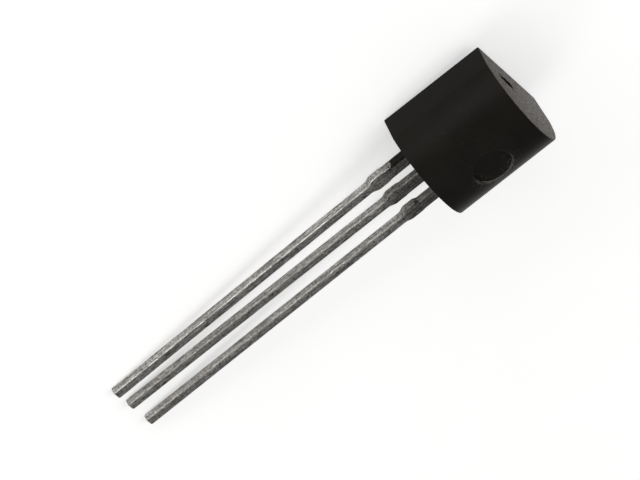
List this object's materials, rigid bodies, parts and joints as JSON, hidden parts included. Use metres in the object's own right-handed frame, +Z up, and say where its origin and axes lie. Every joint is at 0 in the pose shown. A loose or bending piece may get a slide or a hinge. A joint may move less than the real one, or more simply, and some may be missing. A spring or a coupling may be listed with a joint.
{
  "type": "through-hole transistor",
  "caption": "Small moulded transistor in the TO-92 outline: a black epoxy body, round on one side and flat on the other, with straight tinned leads, lying as it comes to rest.",
  "frame": {"origin": "centre of the whole part's box, at the surface it lies on", "axes": "+X runs from the lead tips to the closed end of the body, +Y across the leads towards the collector lead, +Z up; the body's flat faces down and leans 5.6 degrees, as the part rests on the flat's lower edge and the lead tips"},
  "size_m": [0.0188, 0.0048, 0.0037],
  "materials": {
    "epoxy_moulding": "satin black moulded epoxy, faintly grained",
    "tinned_lead": "dull tin plating over copper alloy, with die marks and scuffs",
    "die_bond": "silver-filled bonding layer",
    "silicon": "polished silicon",
    "bond_wire": "drawn gold wire"
  },
  "bodies": {
    "root": {"epoxy_body": "epoxy_moulding", "lead_collector": "tinned_lead", "lead_base": "tinned_lead", "lead_emitter": "tinned_lead", "die_attach": "die_bond", "die": "silicon", "bond_wire_emitter": "bond_wire", "bond_wire_base": "bond_wire"}
  },
  "joints": []
}
